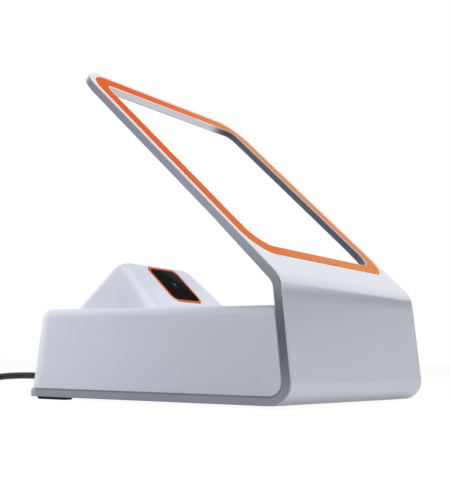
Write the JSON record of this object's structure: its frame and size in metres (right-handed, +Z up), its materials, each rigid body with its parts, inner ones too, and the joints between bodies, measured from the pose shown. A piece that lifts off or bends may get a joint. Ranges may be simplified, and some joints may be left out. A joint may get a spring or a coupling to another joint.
{
  "type": "desktop barcode scanner",
  "caption": "Counter-top code reader: a C-shaped band with an open tilted frame over a low housing, a camera head at the rear and a cable with plug.",
  "frame": {"origin": "on the table, under the middle of the object without its cable", "axes": "+Z up, -Y to the front where the closed front wall is, +X across to the right of someone who looks at the front wall's rear side from behind, that is to the right when looking along +Y"},
  "size_m": [0.21, 0.2976, 0.1709],
  "materials": {
    "band_grey": "satin moulded",
    "cover_white": "pearl satin",
    "accent_orange": "gloss",
    "housing_white": "fine matt",
    "window_black": "polished, dark",
    "lens_glass": "coated",
    "engine_black": "matt",
    "lamp_clear": "clear",
    "board_green": "solder mask",
    "steel": "zinc plated",
    "post_brass": "turned",
    "plug_metal": "nickel plated",
    "connector_white": "matt",
    "flex_amber": "film",
    "rubber_black": "matt",
    "cable_grey": "satin jacket",
    "tie_fabric": "woven strap"
  },
  "bodies": {
    "root": {"band_core": "band_grey", "band_cover": "cover_white", "frame_ring": "accent_orange", "window_ring": "accent_orange", "base_housing": "housing_white", "head_housing": "housing_white", "scan_window": "window_black", "lens_glass": "lens_glass", "engine_chassis": "engine_black", "lens_barrel": "engine_black", "flex_connector": "engine_black", "board_chips": "engine_black", "buzzer": "engine_black", "image_sensor": "engine_black", "flood_leds": "lamp_clear", "aimer_led": "lamp_clear", "main_board": "board_green", "engine_board": "board_green", "engine_screws": "steel", "board_screws": "steel", "base_screws": "steel", "head_screws": "steel", "clamp_screw": "steel", "ballast_plate": "steel", "processor_shield": "steel", "board_posts": "post_brass", "plug_shell": "plug_metal", "cable_connector": "connector_white", "lead_clamp": "connector_white", "plug_tongue": "connector_white", "flex_cable": "flex_amber", "window_gasket": "rubber_black", "strain_relief": "rubber_black", "foot_front_left": "rubber_black", "foot_front_right": "rubber_black", "foot_rear_left": "rubber_black", "foot_rear_right": "rubber_black", "inner_lead": "cable_grey", "cable": "cable_grey", "cable_coil": "cable_grey", "cable_end": "cable_grey", "plug_body": "cable_grey", "coil_tie": "tie_fabric"}
  },
  "joints": []
}
